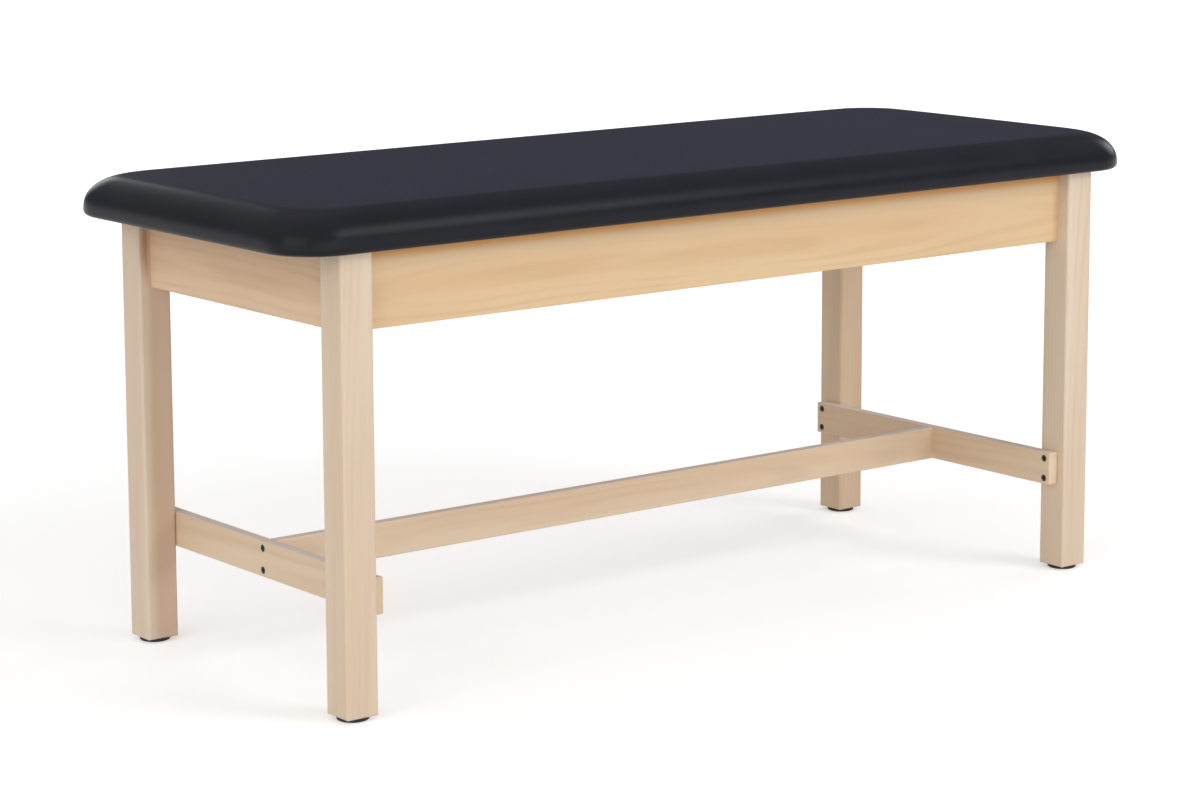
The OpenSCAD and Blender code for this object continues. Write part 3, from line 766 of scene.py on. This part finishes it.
def vinyl():
    """Near-black navy vinyl with a fine pebbled grain."""
    material, tree, shader = new_material("vinyl", roughness=0.32, specular=0.12)
    place = place_in_piece(tree)
    cells = add_node(tree, "ShaderNodeTexVoronoi", [
        ("Vector", place), ("Scale", PEBBLES), ("Smoothness", 0.6),
    ], feature="SMOOTH_F1").outputs["Distance"]
    wrinkles = noise(tree, place, VINYL_WRINKLES, detail=4)
    cloud = noise(tree, place, VINYL_CLOUD)
    base = mix_colours(tree, ramp(tree, cloud, *NOISE_RANGE), VINYL_DARK, VINYL_LIGHT)
    # The hollows between the pebbles are darker: painted shade
    base = mix_colours(tree, ramp(tree, cells, 0.5, 0.8, 0.0, 0.35), base, VINYL_HOLLOW_SHADE)
    tree.links.new(base, shader.inputs["Base Color"])
    gloss = ramp(tree, wrinkles, *NOISE_RANGE, *VINYL_ROUGHNESS)
    tree.links.new(gloss, shader.inputs["Roughness"])
    height = math_node(tree, "ADD", math_node(tree, "MULTIPLY", cells, -1), wrinkles)
    add_bump(tree, shader, height, strength=0.4, distance=0.0002)
    return material


dress(pad, vinyl())
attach(pad, "root")
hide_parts("pad_cover", "pad_foam")
print("pad bounds:", [[round(v, 4) for v in corner] for corner in pad.bound_box][::6])

# %% [markdown]
# ## Staples
#
# The vinyl's edge is held under the board by a row of staples. Only their crowns show: short
# flattened wires that lie on the vinyl. One crown is a bevelled bar, and the row is copies of it at
# a steady pitch, left out where the rail or a corner block is in the way.

# %% Staple the vinyl
STAPLE_LENGTH = 0.0125
STAPLE_WIDTH = 0.0013
STAPLE_HEIGHT = 0.0007
STAPLE_ROUNDING = 0.0003
# How far a crown's middle lies below the vinyl, as a share of its height
STAPLE_STAND = 0.17
STAPLE_PITCH = 0.05
# How far the staples lie from the vinyl's edge, and how far a row stops short of the corner
STAPLE_EDGE = 0.012
ROW_END = 0.04


def add_staple(bm, x, y, turned):
    """One staple's crown, pressed into the vinyl by a third of its height."""
    matrix = Matrix.Translation((x, y, cover_low.z - STAPLE_HEIGHT * STAPLE_STAND))
    if turned:
        matrix = matrix @ Matrix.Rotation(math.pi / 2, 4, "Z")
    size = Matrix.Diagonal((STAPLE_LENGTH, STAPLE_WIDTH, STAPLE_HEIGHT, 1))
    cube = bmesh.ops.create_cube(bm, size=1, matrix=matrix @ size)
    edges = {e for v in cube["verts"] for e in v.link_edges}
    bmesh.ops.bevel(bm, geom=list(edges), offset=STAPLE_ROUNDING, segments=2, profile=0.5,
                    affect="EDGES", material=-1)


def row_places(reach):
    """Places at a steady pitch from the middle outwards, on both sides of it."""
    count = int(reach / STAPLE_PITCH)
    return [STAPLE_PITCH * k for k in range(-count, count + 1)]


staple_form = bmesh.new()
staple_x = pad_length / 2 - FLANGE_WIDTH + STAPLE_EDGE
staple_y = pad_width / 2 - FLANGE_WIDTH + STAPLE_EDGE
block_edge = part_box("corner_block_back_right")[0].x
rail_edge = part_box("cross_rail")[1].x
for side in (-1, 1):
    for x in row_places(block_edge - STAPLE_LENGTH):
        if abs(x) > rail_edge + STAPLE_LENGTH:
            add_staple(staple_form, x, side * staple_y, turned=False)
    for y in row_places(staple_y - ROW_END):
        add_staple(staple_form, side * staple_x, y, turned=True)
staples = mesh_object("staples", staple_form)
dress(staples, zinc_plate)
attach(staples, "root")
print("staple faces:", len(staples.data.polygons))

# %% [markdown]
# ## Floor and light
#
# The table stands in a plain white studio. The floor is pale, takes the table's soft shadow, and
# adds just enough white of its own to melt into the background: little near the table, more far
# away, where the lamps don't reach. That extra white is seen only by the camera, in reflections
# and through glass, so it doesn't light the wood.
#
# A soft lamp stands high to the right in front. The vinyl mirrors it as a broad dull band along the
# left half of the pad's side, which is what makes the skin look like vinyl. Two long lamps close to
# the floor in front reach in under the pad, so that the aprons stay bright up to their top edges.
# One lamp on each side and a weak one straight behind light the faces that those miss. The lamp on
# the left is very large, so that the pad's corner mirrors it as a faint sheen and not as a spot.
# The world does the rest: it is brightest high up, on the camera's side and to its left, and dark
# behind the table, because the top mirrors what lies behind it.

# %% Build the floor
FLOOR_SIZE = 80
FLOOR_GREY = (0.8, 0.8, 0.8, 1)
WHITE = (1, 1, 1, 1)
# Distances from the table, and the share of white that the floor adds of its own there
GLOW_DISTANCES = (1.2, 8)
GLOW = (0.4, 0.75)


def add_floor():
    """A wide floor plane that takes shadows and looks white."""
    bm = bmesh.new()
    bmesh.ops.create_grid(bm, x_segments=1, y_segments=1, size=FLOOR_SIZE / 2)
    piece = mesh_object("floor", bm)
    material, tree, shader = new_material("floor", roughness=0.9, specular=0.1)
    shader.inputs["Base Color"].default_value = FLOOR_GREY
    shader.inputs["Emission Color"].default_value = WHITE
    path = add_node(tree, "ShaderNodeLightPath")
    seen = math_node(tree, "MAXIMUM", path.outputs["Is Camera Ray"],
                     path.outputs["Is Glossy Ray"])
    seen = math_node(tree, "MAXIMUM", seen, path.outputs["Is Transmission Ray"])
    distance = distance_from_zero(tree, place_in_piece(tree))
    glow = ramp(tree, distance, *GLOW_DISTANCES, *GLOW)
    tree.links.new(math_node(tree, "MULTIPLY", seen, glow), shader.inputs["Emission Strength"])
    dress(piece, material)


add_floor()

# %% Light the studio
NEUTRAL = (1, 1, 1)
COOL = (0.98, 0.99, 1.03)

# name: place, height of the point that it is aimed at, width, height, power, colour
LAMPS = {
    "key_lamp": ((3.1, -5.5, 4.5), 0.8, 3.0, 3.0, 140, COOL),
    "low_key_lamp": ((1.5, -5.8, 1.3), 0.8, 3.0, 1.8, 26, NEUTRAL),
    "front_lamp": ((-1.8, -7, 1.3), 0.4, 6.0, 2.2, 74, NEUTRAL),
    "left_lamp": ((-7, -2.2, 2.6), 0.4, 6.0, 4.2, 138, NEUTRAL),
    "right_lamp": ((6.6, 0.4, 2.6), 0.4, 3.0, 2.2, 65, NEUTRAL),
    "back_lamp": ((1.0, 6.8, 2.1), 0.4, 2.4, 2.0, 30, NEUTRAL),
}
DARK_SKY = (0.138, 0.145, 0.19, 1)
BRIGHT_SKY = (0.74, 0.73, 0.71, 1)
BRIGHTEST = Vector((-0.48, -0.18, 0.86)).normalized()
# How near a direction must be to the brightest one to be dark and bright, as a cosine
SKY_RANGE = (-0.1, 0.85)


def add_lamp(name, place, aim, width, height, power, colour):
    """A soft rectangular lamp, aimed at a point above the middle of the table's place."""
    data = bpy.data.lights.new(name, "AREA")
    data.shape = "RECTANGLE"
    data.size = width
    data.size_y = height
    data.energy = power
    data.color = colour
    lamp = add_object(name, data)
    lamp.location = place
    lamp.rotation_mode = "QUATERNION"
    lamp.rotation_quaternion = (Vector((0, 0, aim)) - Vector(place)).to_track_quat("-Z", "Y")


def add_world():
    """Light from all round, from a dark sky on one side to a bright one on the other."""
    world = bpy.data.worlds.new("studio")
    world.use_nodes = True
    bpy.context.scene.world = world
    tree = world.node_tree
    direction = add_node(tree, "ShaderNodeTexCoord").outputs["Generated"]
    nearness = vector_node(tree, "DOT_PRODUCT", direction, BRIGHTEST, output="Value")
    colour = mix_colours(tree, ramp(tree, nearness, *SKY_RANGE), DARK_SKY, BRIGHT_SKY)
    tree.links.new(colour, tree.nodes["Background"].inputs["Color"])


add_world()
for name, values in LAMPS.items():
    add_lamp(name, *values)
bpy.context.scene.view_settings.view_transform = "Standard"
print("lamps:", list(LAMPS))
